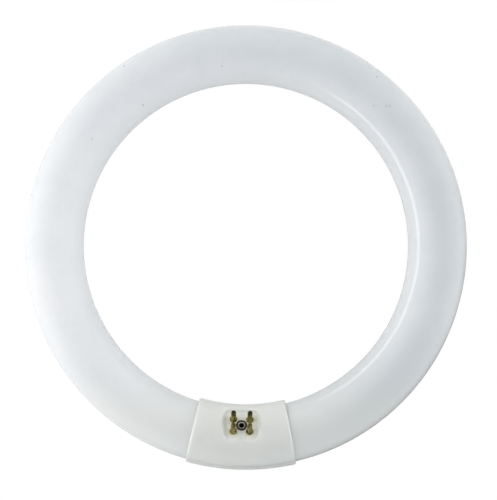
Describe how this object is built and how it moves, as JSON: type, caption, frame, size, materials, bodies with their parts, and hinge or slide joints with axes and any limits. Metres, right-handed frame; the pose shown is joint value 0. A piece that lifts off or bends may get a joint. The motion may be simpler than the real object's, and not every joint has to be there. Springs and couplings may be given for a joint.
{
  "type": "circular fluorescent tube",
  "caption": "Ring-shaped fluorescent lamp tube of white-coated glass, whose ends meet in a plastic cap with brass contact pins in a sunk pad.",
  "frame": {"origin": "centre of the ring, at mid-height of the tube", "axes": "+Z along the ring's axis, on the side the pins point to; the cap is at -Y; +X to the right seen from the pins' side"},
  "size_m": [0.216, 0.2173, 0.0359],
  "materials": {
    "coated_glass": "gloss over a white inner coating",
    "cap_plastic": "satin, slightly translucent",
    "pin_brass": "dull, darkened at the tip",
    "rivet_metal": "plain, tarnished",
    "lead_wire": "bare wire"
  },
  "bodies": {
    "root": {"glass_tube": "coated_glass", "front_cap": "cap_plastic", "rear_cap": "cap_plastic", "clamp_rivet": "rivet_metal", "contact_pin_1": "pin_brass", "lead_wire_1": "lead_wire", "contact_pin_2": "pin_brass", "lead_wire_2": "lead_wire", "contact_pin_3": "pin_brass", "lead_wire_3": "lead_wire", "contact_pin_4": "pin_brass", "lead_wire_4": "lead_wire"}
  },
  "joints": []
}
